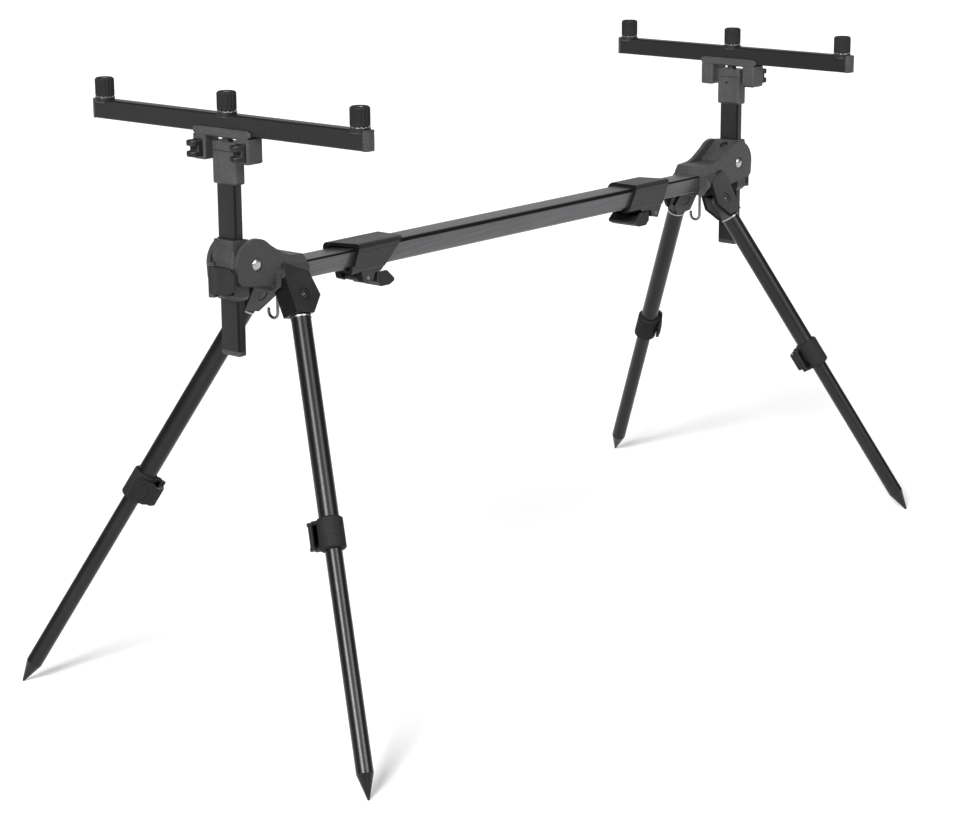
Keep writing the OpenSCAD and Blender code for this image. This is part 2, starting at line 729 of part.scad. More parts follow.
// Saddle with two hanging lugs that hold the release buttons
module saddle_shape(end) {
    high = saddle_floor + lip_h;
    pocket_x = lug_d / 2 - lug_shift - button_in - button_travel;
    at_deck(end) difference() {
        union() {
            translate([0, 0, high / 2]) intersection() {
                along_z(high) round_rect(saddle_d, saddle_w, 1.6);
                along_x(60) polygon([[-saddle_w / 2 + 4, -high / 2], [saddle_w / 2 - 4, -high / 2],
                    [saddle_w / 2, -high / 2 + 4], [saddle_w / 2, high / 2 - 1.5],
                    [saddle_w / 2 - 5, high / 2], [-saddle_w / 2 + 5, high / 2],
                    [-saddle_w / 2, high / 2 - 1.5], [-saddle_w / 2, -high / 2 + 4]]);
                along_y(100) cut_rect(saddle_d, high, 1.2);
            }
            for (s = [-1, 1]) translate([lug_shift, s * lug_y, -lug_h / 2 + 1]) intersection() {
                along_x(lug_d) round_rect(lug_w, lug_h + 2, 4);
                along_z(60) round_rect(lug_d, lug_w, 3);
                along_y(60) round_rect(lug_d, lug_h + 2, 4);
            }
            for (s = [-1, 1]) translate([lug_shift, s * lug_y, 0]) intersection() {
                translate([0, 0, -4]) along_z(10) round_rect(lug_d, lug_w, 3);
                along_y(60) polygon([[-lug_d / 2, -9], [lug_d / 2, -9], [lug_d / 2, -3],
                    [saddle_d / 2 - 0.6, 1], [-saddle_d / 2 - 0.4, 1], [-lug_d / 2, -3]]);
            }
        }
        translate([0, 0, bar_low + 50]) cube([buzz_d + 2 * seat_gap, 200, 100], center = true);
        cylinder(r = spigot_r + button_gap, h = 20, center = true);
        for (s = [-1, 1]) translate([pocket_x + 20, s * lug_y, -lug_h / 2])
            cube([40, button_w + 2 * button_gap, button_h + 2 * button_gap], center = true);
    }
}

// Side outline of a release button: a stem with two rounded rims
module button_outline(deep) {
    translate([-button_groove / 2, 0]) square([deep - button_groove, button_h], center = true);
    for (z = [-1, 1]) translate([0, z * (button_h - button_rim) / 2])
        round_rect(deep, button_rim, button_edge);
}

module buttons_shape(end) {
    deep = button_out + button_in;
    at_deck(end) for (s = [-1, 1])
        translate([lug_d / 2 + lug_shift + deep / 2 - button_in, s * lug_y, -lug_h / 2]) intersection() {
            along_y(button_w) button_outline(deep);
            along_z(button_h) round_rect(deep, button_w, button_round);
        }
}

// Buzz bar along Y with rounded end plugs
module buzz_shape(end) {
    long = buzz_long(end);
    at_deck(end) translate([0, 0, bar_low + buzz_h / 2]) difference() {
        along_y(long) round_rect(buzz_d, buzz_h, 1.6);
        along_y(long + 2) round_rect(buzz_d - 2 * buzz_wall, buzz_h - 2 * buzz_wall, 0.8);
        for (y = [-1, 0, 1]) translate([0, y * end[1] / 2, 0])
            cylinder(r = stem_r + stem_gap, h = 40);
    }
}

module buzz_ends_shape(end) {
    long = buzz_long(end);
    at_deck(end) translate([0, 0, bar_low + buzz_h / 2]) for (s = [-1, 1]) {
        translate([0, s * long / 2, 0]) intersection() {
            cylinder(r = buzz_d / 2, h = buzz_h, center = true);
            translate([0, s * 20, 0]) cube([40, 40, 40], center = true);
            along_x(40) cut_rect(buzz_d, buzz_h, bevel);
        }
        translate([0, s * (long / 2 - end_plug / 2), 0]) along_y(end_plug + fine)
            round_rect(buzz_d - 2 * buzz_wall - 0.2, buzz_h - 2 * buzz_wall - 0.2, 0.8);
    }
}

module inserts_shape(end) {
    top = knob_h + knob_gap + flange_up - insert_sink;
    at_deck(end) for (y = [-1, 0, 1]) translate([0, y * end[1] / 2, bar_top]) difference() {
        union() {
            translate([0, 0, -flange_over]) cylinder(d = flange_d, h = flange_over + flange_up);
            cylinder(r = insert_r, h = top);
            translate([0, 0, -buzz_h / 2]) cylinder(r = stem_r, h = buzz_h / 2 + 1);
        }
        difference() {
            translate([0, 0, -50]) cube([buzz_d + 2 * seat_gap, 60, 100], center = true);
            translate([0, 0, -50]) cylinder(r = stem_r, h = 60);
        }
        translate([0, 0, thread_floor]) cylinder(r = thread_r, h = 60);
    }
}

module knob_shape(end, y) {
    top = knob_d / 2 - knob_edge;
    low = knob_d / 2 - knob_edge / 2;
    at_deck(end) translate([0, y * end[1] / 2, knob_low]) difference() {
        intersection() {
            cylinder(d = knob_d, h = knob_h);
            cylinder(r1 = top + knob_h, r2 = top, h = knob_h);
            cylinder(r1 = low, r2 = low + knob_h, h = knob_h);
        }
        translate([0, 0, -1]) cylinder(r = insert_r + run_gap, h = knob_h + 2);
        for (i = [0 : flute_n - 1]) rotate([0, 0, (i + 0.5) * 360 / flute_n])
            translate([knob_d / 2 + flute_r - flute_t, 0, flute_end])
                cylinder(r = flute_r, h = knob_h - 2 * flute_end);
    }
}

// Leg pieces, drawn in the leg frame
module knuckle_shape() {
    difference() {
        union() {
            rotate([90, 0, 0]) cylinder(r = tongue_r, h = tongue_t, center = true);
            translate([0, 0, -knuckle_drop / 2]) cube([2 * tongue_r, tongue_t, knuckle_drop], center = true);
            translate([0, 0, -upper_top]) cylinder(r = ring_r, h = ring_h);
            translate([0, 0, -upper_top - knuckle_plug])
                cylinder(r = upper_r - leg_wall - seat_gap, h = knuckle_plug + fine);
        }
        rotate([90, 0, 0]) cylinder(r = hinge_pin_r + run_gap, h = 100, center = true);
    }
}

module leg_tube(top, low, r) {
    translate([0, 0, -low]) difference() {
        cylinder(r = r, h = low - top);
        translate([0, 0, -1]) cylinder(r = r - leg_wall, h = low - top + 2);
    }
}

module lock_shape(leg) {
    translate([0, 0, -lock_mid(leg)]) difference() {
        union() {
            intersection() {
                cylinder(r = lock_r, h = lock_h, center = true);
                cylinder(r1 = lock_r + lock_h - 1.5, r2 = lock_r - 1.5, h = lock_h, center = true);
                cylinder(r2 = lock_r + lock_h - 1.5, r1 = lock_r - 1.5, h = lock_h, center = true);
            }
            intersection() {
                translate([lock_pin_x / 2, 0, 0])
                    cube([lock_pin_x, 2 * lock_ear_r, lock_h - 2], center = true);
                along_y(60) cut_rect(2 * lock_pin_x + 2, lock_h - 2, 3);
            }
            translate([lock_pin_x, 0, 0]) cylinder(r = lock_ear_r, h = lock_h - 4, center = true);
        }
        cylinder(r = lower_r + slip, h = 100, center = true);
        translate([0, 0, -lock_h / 2 + upper_seat - seat_gap]) cylinder(r = upper_r + seat_gap, h = 100);
        translate([lock_pin_x, 0, 0]) cube([12, 40, lock_lever_h + 0.6], center = true);
        translate([lock_pin_x, 0, 0]) cylinder(r = lock_pin_r + run_gap, h = 100, center = true);
    }
}

module lock_lever_shape(leg) {
    translate([0, 0, -lock_mid(leg)]) difference() {
        union() {
            translate([lock_pin_x, 0, 0]) cylinder(r = lock_barrel_r, h = lock_lever_h, center = true);
            along_z(lock_lever_h) polygon([[lock_pin_x - lock_barrel_r, 0],
                [lock_pin_x + lock_barrel_r, 0], [lock_pin_x + lock_barrel_r, -pad_y + 3],
                [lock_pin_x - 3, -pad_y - pad_t], [lock_pin_x - 8, -pad_y - pad_t], [lock_pin_x - 8, -pad_y],
                [lock_pin_x - 3.4, -pad_y], [lock_pin_x - lock_barrel_r, -pad_y + 3]]);
            translate([0, -pad_y - pad_t / 2, 0]) along_y(pad_t) polygon([[-pad_reach, 5.5 - pad_half],
                [-pad_reach + 5, -pad_half], [8, -pad_half], [lock_pin_x - 6, -lock_lever_h / 2],
                [lock_pin_x - 6, lock_lever_h / 2], [8, pad_half], [-pad_reach + 5, pad_half],
                [-pad_reach, pad_half - 5.5]]);
            translate([-1, -pad_y - pad_t, 0]) rotate([90, 0, 0])
                cylinder(r = hex_r, h = 2 * hex_rim_h, center = true, $fn = 6);
        }
        translate([lock_pin_x, 0, 0]) cylinder(r = lock_pin_r + run_gap, h = 100, center = true);
        translate([-1, -pad_y - pad_t - hex_rim_h + hex_sink - 1, 0]) rotate([90, 0, 0])
            cylinder(r = hex_r - hex_rim, h = 2, center = true, $fn = 6);
    }
}

module lock_pin_shape(leg)
    translate([lock_pin_x, 0, -lock_mid(leg)]) cylinder(r = lock_pin_r, h = lock_h - 4, center = true);

module upper_leg_shape(leg) leg_tube(upper_top, lock_low(leg) - upper_seat, upper_r);

module lower_leg_shape(leg) leg_tube(lock_low(leg) - lower_overlap, leg[0] - spike_len, lower_r);

module spike_shape(leg) {
    translate([0, 0, -leg[0]]) {
        translate([0, 0, tip_r]) sphere(tip_r);
        translate([0, 0, tip_r])
            cylinder(r1 = tip_r, r2 = lower_r, h = spike_len - tip_r - spike_rim - seat_gap);
        translate([0, 0, spike_len - spike_rim - seat_gap - fine])
            cylinder(r = lower_r, h = spike_rim + fine);
        translate([0, 0, spike_len - seat_gap - fine])
            cylinder(r = lower_r - leg_wall - seat_gap, h = spike_plug);
    }
}

// Centre bar nodes
module centre_tube() color(gunmetal) stand() tube_shape();
module front_bar_clamp() color(charcoal) at_front() clamp_shape();
module rear_bar_clamp() color(charcoal) at_rear() clamp_shape();
module clamp_pins() color(steel) {
    at_rear() clamp_pin_shape();
    at_front() clamp_pin_shape();
}
module front_bar_lever() color(charcoal) at_front() bar_lever_shape();
module rear_bar_lever() color(charcoal) at_rear() bar_lever_shape();

// Front end nodes
module front_inner_bar() color(gunmetal) at_front() inner_bar_shape();
module front_head() color(charcoal) at_front() head_shape();
module front_head_fasteners() color(steel) at_front() {
    fastener_shape();
    nut_shape();
}
module front_hook() color(steel) at_front() hook_shape(90);
module front_post_collar() color(charcoal) at_front() collar_shape();
module front_post_lever() color(black) at_front() {
    post_lever_shape();
    post_pin_shape();
}
module front_post() color(black) at_front() post_shape(front_end);
module front_post_foot() color(charcoal) at_front() foot_shape(front_end);
module front_post_cap() color(charcoal) at_front() cap_shape(front_end);
module front_saddle() color(charcoal) at_front() saddle_shape(front_end);
module front_release_buttons() color(black) at_front() buttons_shape(front_end);
module front_buzz_bar() color(black) at_front() buzz_shape(front_end);
module front_buzz_ends() color(charcoal) at_front() buzz_ends_shape(front_end);
module front_inserts() color(steel) at_front() inserts_shape(front_end);
module front_knob_left() color(black) at_front() knob_shape(front_end, -1);
module front_knob_middle() color(black) at_front() knob_shape(front_end, 0);
module front_knob_right() color(black) at_front() knob_shape(front_end, 1);

// Rear end nodes
module rear_inner_bar() color(gunmetal) at_rear() inner_bar_shape();
module rear_head() color(charcoal) at_rear() head_shape();
module rear_head_fasteners() color(steel) at_rear() {
    fastener_shape();
    nut_shape();
}
module rear_hook() color(steel) at_rear() hook_shape(-90);
module rear_post_collar() color(charcoal) at_rear() collar_shape();
module rear_post_lever() color(black) at_rear() {
    post_lever_shape();
    post_pin_shape();
}
module rear_post() color(black) at_rear() post_shape(rear_end);
module rear_post_foot() color(charcoal) at_rear() foot_shape(rear_end);
module rear_post_cap() color(charcoal) at_rear() cap_shape(rear_end);
module rear_saddle() color(charcoal) at_rear() saddle_shape(rear_end);
module rear_release_buttons() color(black) at_rear() buttons_shape(rear_end);
module rear_buzz_bar() color(black) at_rear() buzz_shape(rear_end);
module rear_buzz_ends() color(charcoal) at_rear() buzz_ends_shape(rear_end);
module rear_inserts() color(steel) at_rear() inserts_shape(rear_end);
module rear_knob_left() color(black) at_rear() knob_shape(rear_end, 1);
module rear_knob_middle() color(black) at_rear() knob_shape(rear_end, 0);
module rear_knob_right() color(black) at_rear() knob_shape(rear_end, -1);

// Leg nodes: the front legs are the rear ones turned about
module front_left_knuckle() color(charcoal) at_front() at_leg(-1) knuckle_shape();
module front_left_upper_leg() color(black) at_front() at_leg(-1) upper_leg_shape(front_set);
module front_left_lock() color(charcoal) at_front() at_leg(-1) rotate([0, 0, turn_fl]) lock_shape(front_set);
module front_left_lock_lever() color(black) at_front() at_leg(-1) rotate([0, 0, turn_fl]) {
    lock_lever_shape(front_set);
    lock_pin_shape(front_set);
}
module front_left_lower_leg() color(black) at_front() at_leg(-1) {
    lower_leg_shape(front_set);
    spike_shape(front_set);
}

module front_right_knuckle() color(charcoal) at_front() at_leg(1) knuckle_shape();
module front_right_upper_leg() color(black) at_front() at_leg(1) upper_leg_shape(front_set);
module front_right_lock() color(charcoal) at_front() at_leg(1) rotate([0, 0, turn_fr]) lock_shape(front_set);
module front_right_lock_lever() color(black) at_front() at_leg(1) rotate([0, 0, turn_fr]) {
    lock_lever_shape(front_set);
    lock_pin_shape(front_set);
}
module front_right_lower_leg() color(black) at_front() at_leg(1) {
    lower_leg_shape(front_set);
    spike_shape(front_set);
}

module rear_left_knuckle() color(charcoal) at_rear() at_leg(1) knuckle_shape();
module rear_left_upper_leg() color(black) at_rear() at_leg(1) upper_leg_shape(rear_set);
module rear_left_lock() color(charcoal) at_rear() at_leg(1) rotate([0, 0, turn_rl]) lock_shape(rear_set);
module rear_left_lock_lever() color(black) at_rear() at_leg(1) rotate([0, 0, turn_rl]) {
    lock_lever_shape(rear_set);
    lock_pin_shape(rear_set);
}
module rear_left_lower_leg() color(black) at_rear() at_leg(1) {
    lower_leg_shape(rear_set);
    spike_shape(rear_set);
}

module rear_right_knuckle() color(charcoal) at_rear() at_leg(-1) knuckle_shape();
module rear_right_upper_leg() color(black) at_rear() at_leg(-1) upper_leg_shape(rear_set);
module rear_right_lock() color(charcoal) at_rear() at_leg(-1) rotate([0, 0, turn_rr]) lock_shape(rear_set);
module rear_right_lock_lever() color(black) at_rear() at_leg(-1) rotate([0, 0, turn_rr]) {
    lock_lever_shape(rear_set);
    lock_pin_shape(rear_set);
}
module rear_right_lower_leg() color(black) at_rear() at_leg(-1) {
    lower_leg_shape(rear_set);
    spike_shape(rear_set);
}

centre_tube();
front_bar_clamp();
rear_bar_clamp();
clamp_pins();
front_bar_lever();
rear_bar_lever();
front_inner_bar();
front_head();
front_head_fasteners();
front_hook();
front_post_collar();
front_post_lever();
front_post();
front_post_foot();
front_post_cap();
front_saddle();
front_release_buttons();
front_buzz_bar();
front_buzz_ends();
front_inserts();
front_knob_left();
front_knob_middle();
front_knob_right();
rear_inner_bar();
rear_head();
rear_head_fasteners();
rear_hook();
rear_post_collar();
rear_post_lever();
rear_post();
rear_post_foot();
rear_post_cap();
rear_saddle();
rear_release_buttons();
rear_buzz_bar();
rear_buzz_ends();
rear_inserts();
rear_knob_left();
rear_knob_middle();
rear_knob_right();
front_left_knuckle();
front_left_upper_leg();
front_left_lock();
front_left_lock_lever();
front_left_lower_leg();
front_right_knuckle();
front_right_upper_leg();
front_right_lock();
front_right_lock_lever();
front_right_lower_leg();
rear_left_knuckle();
rear_left_upper_leg();
rear_left_lock();
rear_left_lock_lever();
rear_left_lower_leg();
rear_right_knuckle();
rear_right_upper_leg();
rear_right_lock();
rear_right_lock_lever();
rear_right_lower_leg();
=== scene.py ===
"""Folding rod pod: finishes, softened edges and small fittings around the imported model."""
import json
import math

import bmesh
import bpy
from mathutils import Matrix, Vector


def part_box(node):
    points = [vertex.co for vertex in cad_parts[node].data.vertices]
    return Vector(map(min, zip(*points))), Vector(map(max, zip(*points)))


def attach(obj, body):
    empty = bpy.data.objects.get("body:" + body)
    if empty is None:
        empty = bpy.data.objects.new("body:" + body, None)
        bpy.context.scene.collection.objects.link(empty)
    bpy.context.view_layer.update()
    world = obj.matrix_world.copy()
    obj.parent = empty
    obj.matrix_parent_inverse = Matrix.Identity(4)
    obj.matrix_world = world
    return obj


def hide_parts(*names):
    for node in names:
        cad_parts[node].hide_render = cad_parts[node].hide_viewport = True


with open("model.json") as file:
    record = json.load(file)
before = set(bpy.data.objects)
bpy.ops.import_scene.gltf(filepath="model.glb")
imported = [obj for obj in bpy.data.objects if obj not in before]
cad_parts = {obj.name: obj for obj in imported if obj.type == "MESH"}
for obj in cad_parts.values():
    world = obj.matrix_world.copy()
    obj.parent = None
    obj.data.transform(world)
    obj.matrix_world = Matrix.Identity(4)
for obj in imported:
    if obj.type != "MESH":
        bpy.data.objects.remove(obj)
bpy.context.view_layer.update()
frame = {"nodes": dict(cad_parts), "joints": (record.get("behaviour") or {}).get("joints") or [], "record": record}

MM = 0.001
ENDS = ("front", "rear")
SIDES = ("left", "right")
LEGS = [f"{end}_{side}" for end in ENDS for side in SIDES]
KNOB_PLACES = ("left", "middle", "right")
NODES = frame["nodes"]
JOINTS = {joint["name"]: joint for joint in frame["joints"]}
SLOT_OF = {part["node"]: part["material_slot"] for part in frame["record"]["subparts"]}
BODY_OF = {
    node: body
    for body, members in frame["record"]["behaviour"]["bodies"].items()
    for node in members
}


def spot_of(joint):
    """Where a joint sits, in metres."""
    return Vector(JOINTS[joint]["pos_m"])


def way_of(joint):
    """Direction of a joint's axis."""
    return Vector(JOINTS[joint]["axis"]).normalized()


def axis_of(joint):
    """Place and direction of a joint's axis."""
    return spot_of(joint), way_of(joint)


BAR_WAY = way_of("rear_bar_slide")
POST_WAY = way_of("rear_post_slide")
BAR_PITCH = math.atan2(-BAR_WAY.z, BAR_WAY.x)


def corners_of(node):
    """The corner points of a CAD node."""
    return [vertex.co for vertex in NODES[node].data.vertices]


def reach(node, way, origin=Vector()):
    """Lowest and highest distance of a node along a direction, from an origin."""
    far = [(corner - origin).dot(way) for corner in corners_of(node)]
    return min(far), max(far)


def off_axis(point, spot, way):
    """Distance of a point from an axis."""
    gap = point - spot
    return (gap - way * gap.dot(way)).length


# Finishes
NOISE_MIDDLE = (0.3, 0.7)
TWO_NOISES_MIDDLE = (0.6, 1.4)
# Near-black of the painted corner shade and of dark parting lines
NEAR_BLACK = (0.002, 0.002, 0.002)
COOL_CAST = 1.04
# Reach and rays of the painted shade in the corners of moulded plastic
CORNER_SHADE_W = 5 * MM
CORNER_SHADE_RAYS = 6
SEAM_CORE, SEAM_EDGE = 0.25 * MM, 0.5 * MM
CLAMP_SEAM_DROP = 7.4 * MM
# Colour sockets of the Mix node, which share their names with its other sockets
MIX_FIRST, MIX_SECOND, MIX_RESULT = 6, 7, 2


class Finish:
    """A node material on Object coordinates, with short calls for its usual nodes."""

    def __init__(self, name, metallic=0.0, specular=0.5):
        self.material = bpy.data.materials.new(name)
        self.material.use_nodes = True
        self.tree = self.material.node_tree
        self.shader = self.tree.nodes["Principled BSDF"]
        self.shader.inputs["Metallic"].default_value = metallic
        self.shader.inputs["Specular IOR Level"].default_value = specular
        self.place = self.tree.nodes.new("ShaderNodeTexCoord").outputs["Object"]

    def feed(self, socket, value):
        """Links another node's output to a socket, or sets the socket's own value."""
        if isinstance(value, bpy.types.NodeSocket):
            self.tree.links.new(value, socket)
        else:
            socket.default_value = value

    def made(self, kind, **values):
        """A new node with its named inputs fed."""
        node = self.tree.nodes.new(kind)
        for key, value in values.items():
            self.feed(node.inputs[key.replace("_", " ")], value)
        return node

    def stretched(self, scale, turn=(0, 0, 0)):
        """Object coordinates, scaled and turned."""
        return self.made(
            "ShaderNodeMapping", Vector=self.place, Rotation=turn, Scale=scale
        ).outputs["Vector"]

    def noise(self, scale, detail=3.0, rough=0.55, where=None):
        """Noise with most of its values around one half."""
        return self.made(
            "ShaderNodeTexNoise", Vector=where or self.place,
            Scale=scale, Detail=detail, Roughness=rough,
        ).outputs["Fac"]

    def span(self, value, low, high, out_low=0.0, out_high=1.0):
        """A value carried from one range to another and held at its ends."""
        return self.made(
            "ShaderNodeMapRange", Value=value,
            From_Min=low, From_Max=high, To_Min=out_low, To_Max=out_high,
        ).outputs["Result"]

    def blend(self, share, first, second):
        """A colour between two, each of them a tuple or another node's colour."""
        node = self.tree.nodes.new("ShaderNodeMix")
        node.data_type = "RGBA"
        self.feed(node.inputs["Factor"], share)
        for index, colour in ((MIX_FIRST, first), (MIX_SECOND, second)):
            self.feed(node.inputs[index], (*colour, 1) if isinstance(colour, tuple) else colour)
        return node.outputs[MIX_RESULT]

    def reckoned(self, first, second, kind="ADD"):
        """One step of arithmetic: a sum, unless another kind is named."""
        node = self.tree.nodes.new("ShaderNodeMath")
        node.operation = kind
        self.feed(node.inputs[0], first)
        self.feed(node.inputs[1], second)
        return node.outputs[0]

    def along(self, way, height):
        """Distance along a direction, measured from a height."""
        node = self.tree.nodes.new("ShaderNodeVectorMath")
        node.operation = "DOT_PRODUCT"
        self.feed(node.inputs[0], self.place)
        self.feed(node.inputs[1], tuple(way))
        return self.reckoned(node.outputs["Value"], height, "SUBTRACT")

    def crevice(self, width):
        """How open a spot of the piece is, from 0 deep in a corner to 1."""
        node = self.made("ShaderNodeAmbientOcclusion", Distance=width)
        node.only_local = True
        node.samples = CORNER_SHADE_RAYS
        return node.outputs["AO"]

    def bump(self, height, depth, strength=1.0, below=None):
        """A relief, on top of another one where that is given."""
        node = self.made("ShaderNodeBump", Height=height, Distance=depth, Strength=strength)
        if below is not None:
            self.feed(node.inputs["Normal"], below)
        return node.outputs["Normal"]

    def finish(self, colour, rough, normal):
        """Feeds the shader and gives the material."""
        self.feed(self.shader.inputs["Base Color"], colour)
        self.feed(self.shader.inputs["Roughness"], rough)
        self.feed(self.shader.inputs["Normal"], normal)
        return self.material


def moulded(name, dark, light, rough, worn=0.0, seam=None, gloss=0.42):
    """Spark-textured moulded plastic, with painted shade darkening its corners.

    Worn lifts the tone of rubbed edges, seam is the height of a dark parting line and gloss
    is how much the surface mirrors."""
    made = Finish(name, specular=gloss)
    cloud = made.noise(scale=38, detail=4)
    spark = made.noise(scale=850, detail=3, rough=0.65)
    peak_tone = tuple(1.7 * channel for channel in light)
    pit_tone = tuple(0.4 * channel for channel in dark)
    worn_tone = tuple(channel + worn for channel in light)
    tone = made.blend(made.span(cloud, *NOISE_MIDDLE), dark, light)
    tone = made.blend(made.span(spark, 0.5, 0.72, 0, 0.75), tone, peak_tone)
    tone = made.blend(made.span(spark, 0.5, 0.3, 0, 0.5), tone, pit_tone)
    # Painted shade: near-black where a spot lies deep in a corner
    tone = made.blend(made.span(made.crevice(CORNER_SHADE_W), 0.25, 0.85, 0.85, 0), tone, NEAR_BLACK)
    if worn:
        rub = made.noise(scale=420, detail=4, rough=0.7)
        tone = made.blend(made.span(rub, 0.42, 0.72, 0.15, 0.9), tone, worn_tone)
    if seam is not None:
        from_seam = made.reckoned(made.along(POST_WAY, seam), 0, "ABSOLUTE")
        tone = made.blend(made.span(from_seam, SEAM_CORE, SEAM_EDGE, 1, 0), tone, NEAR_BLACK)
    grit = made.reckoned(cloud, made.noise(scale=900, detail=2))
    roughness = made.span(grit, *TWO_NOISES_MIDDLE, rough - 0.07, rough + 0.1)
    return made.finish(tone, roughness, made.bump(spark, depth=0.12 * MM, strength=0.7))


def lacquer(name, dark, light, rough, scuff):
    """Sprayed tube lacquer with faint orange peel, dust and a few rubbed marks."""
    made = Finish(name, specular=0.34)
    cloud = made.noise(scale=16, detail=3)
    peel = made.noise(scale=260, detail=2)
    dust = made.span(made.noise(scale=1900, detail=1), 0.76, 0.82)
    rub = made.noise(scale=7, detail=5, rough=0.72, where=made.stretched((7, 7, 1.0)))
    marks = made.span(rub, 0.63, 0.74)
    tone = made.blend(made.span(cloud, *NOISE_MIDDLE), dark, light)
    tone = made.blend(made.reckoned(marks, 0.35, "MULTIPLY"), tone, scuff)
    tone = made.blend(made.reckoned(dust, 0.3, "MULTIPLY"), tone, scuff)
    peel_rough = made.span(peel, *NOISE_MIDDLE, rough - 0.03, rough + 0.03)
    roughness = made.reckoned(peel_rough, made.reckoned(marks, 0.1, "MULTIPLY"))
    return made.finish(tone, roughness, made.bump(peel, depth=0.004 * MM, strength=0.3))


def anodised(name, dark, light, rough):
    """Anodised bar with drawing lines along its length."""
    made = Finish(name, metallic=0.7, specular=0.4)
    drawn = made.stretched(scale=(9, 700, 700), turn=(0, BAR_PITCH, 0))
    lines = made.noise(scale=1.0, detail=4, rough=0.6, where=drawn)
    blast = made.noise(scale=3200, detail=2, rough=0.6)
    cloud = made.noise(scale=11, detail=3)
    tone = made.blend(made.span(lines, *NOISE_MIDDLE), dark, light)
    tone = made.blend(made.span(cloud, 0.35, 0.75, 0, 0.3), tone, dark)
    grit = made.reckoned(lines, blast)
    roughness = made.span(grit, *TWO_NOISES_MIDDLE, rough - 0.06, rough + 0.07)
    line_relief = made.bump(lines, depth=0.01 * MM, strength=0.5)
    relief = made.bump(blast, depth=0.02 * MM, strength=0.5, below=line_relief)
    return made.finish(tone, roughness, relief)


def polished(name, dark, light, rough):
    """Steel with fine turning marks."""
    made = Finish(name, metallic=1.0)
    grain = made.noise(scale=1400, detail=3, rough=0.6)
    cloud = made.noise(scale=160, detail=3)
    tone = made.blend(made.span(cloud, *NOISE_MIDDLE), dark, light)
    roughness = made.span(grain, *NOISE_MIDDLE, rough - 0.05, rough + 0.08)
    return made.finish(tone, roughness, made.bump(grain, depth=0.01 * MM, strength=0.4))


def grey(value):
    """A neutral tone with a slight blue cast."""
    return (value, value, value * COOL_CAST)


CHARCOAL = moulded("charcoal_plastic", grey(0.038), grey(0.056), rough=0.42)
CHARCOAL_EDGE = moulded("charcoal_edge", grey(0.034), grey(0.048), rough=0.38, worn=0.03)
# Paler copy of the charcoal plastic: painted light for the cap and saddle, which catch more light
LIT_CHARCOAL = moulded("charcoal_painted_light", grey(0.046), grey(0.068), rough=0.42)
# Darker copy of the charcoal plastic: painted shade on the front yoke faces
YOKE_FACE_SHADE = moulded("yoke_face", grey(0.014), grey(0.022), rough=0.46, gloss=0.3)
BLACK = moulded("black_plastic", grey(0.01), grey(0.017), rough=0.52, gloss=0.3)
LOCK = moulded("black_lock", grey(0.011), grey(0.018), rough=0.7, gloss=0.22)
BLACK_EDGE = moulded("black_edge", grey(0.016), grey(0.026), rough=0.46, worn=0.024)
CLAMP_SEAM = reach("rear_bar_clamp", POST_WAY)[1] - CLAMP_SEAM_DROP
CLAMP = moulded("clamp_plastic", grey(0.018), grey(0.026), rough=0.38, seam=CLAMP_SEAM)
TUBE = lacquer("satin_black_leg", grey(0.005), grey(0.01), rough=0.31, scuff=grey(0.03))
POST = lacquer("matt_black_post", grey(0.006), grey(0.01), rough=0.38, scuff=grey(0.035))
BAR = anodised("gunmetal_bar", grey(0.11), grey(0.17), rough=0.36)
# Dark copy of the bar anodising: painted shade along the bars' upper corners
BAR_CORNER_SHADE = anodised("gunmetal_corner_painted_shade", grey(0.006), grey(0.014), rough=0.42)
STEEL = polished("bright_steel", grey(0.34), grey(0.46), rough=0.3)
DULL_STEEL = polished("dull_steel", grey(0.16), grey(0.24), rough=0.4)
DARK_STEEL = polished("darkened_steel", grey(0.03), grey(0.05), rough=0.42)
# Near-black painted shade for the clamp mouths, yoke sides and post corners
PAINTED_SHADE = moulded("painted_shade_black", grey(0.003), grey(0.006), rough=0.6, gloss=0.12)

# Main finish and edge finish, by slot and for the kinds of piece that differ from their slot
FINISHES_OF_SLOT = {
    "charcoal_plastic": (CHARCOAL, CHARCOAL_EDGE),
    "black_plastic": (BLACK, BLACK_EDGE),
    "black_tube": (TUBE, TUBE),
    "gunmetal_bar": (BAR, BAR),
    "bright_steel": (STEEL, STEEL),
}
FINISHES_OF_KIND = {
    "bar_clamp": (CLAMP, CHARCOAL_EDGE),
    "clamp_pins": (DULL_STEEL, DULL_STEEL),
    # Cap and saddle take the paler charcoal copy, painted light
    "post_cap": (LIT_CHARCOAL, CHARCOAL_EDGE),
    "saddle": (LIT_CHARCOAL, CHARCOAL_EDGE),
    "knob_left": (LOCK, BLACK_EDGE),
    "knob_middle": (LOCK, BLACK_EDGE),
    "knob_right": (LOCK, BLACK_EDGE),
    "inserts": (STEEL, STEEL),
    "post": (POST, POST),
    "buzz_bar": (POST, POST),
    "hook": (DULL_STEEL, DULL_STEEL),
    "lock": (LOCK, BLACK_EDGE),
    "lock_lever": (LOCK, BLACK_EDGE),
}


def linked(name, data):
    """A new object at the origin, linked to the scene."""
    made = bpy.data.objects.new(name, data)
    bpy.context.scene.collection.objects.link(made)
    return made


def piece(name, mesh, body, slot, *replaced):
    """Links a finished mesh as an object that rides on a body."""
    made = linked(name, mesh)
    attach(made, body)
    if replaced:
        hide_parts(*replaced)


def plain_mesh(work):
    """The evaluated mesh of a work object, which is then removed."""
    graph = bpy.context.evaluated_depsgraph_get()
    mesh = bpy.data.meshes.new_from_object(work.evaluated_get(graph))
    bpy.data.objects.remove(work)
    return mesh


# Softened copies of the CAD pieces
MERGE_GAP = 0.002 * MM
CUT_GAP = 0.001 * MM
FLAT_ANGLE = math.radians(0.6)
EDGE_ANGLE = math.radians(32)
MAIN_INDEX, EDGE_INDEX, OTHERS_INDEX = 0, 1, 2
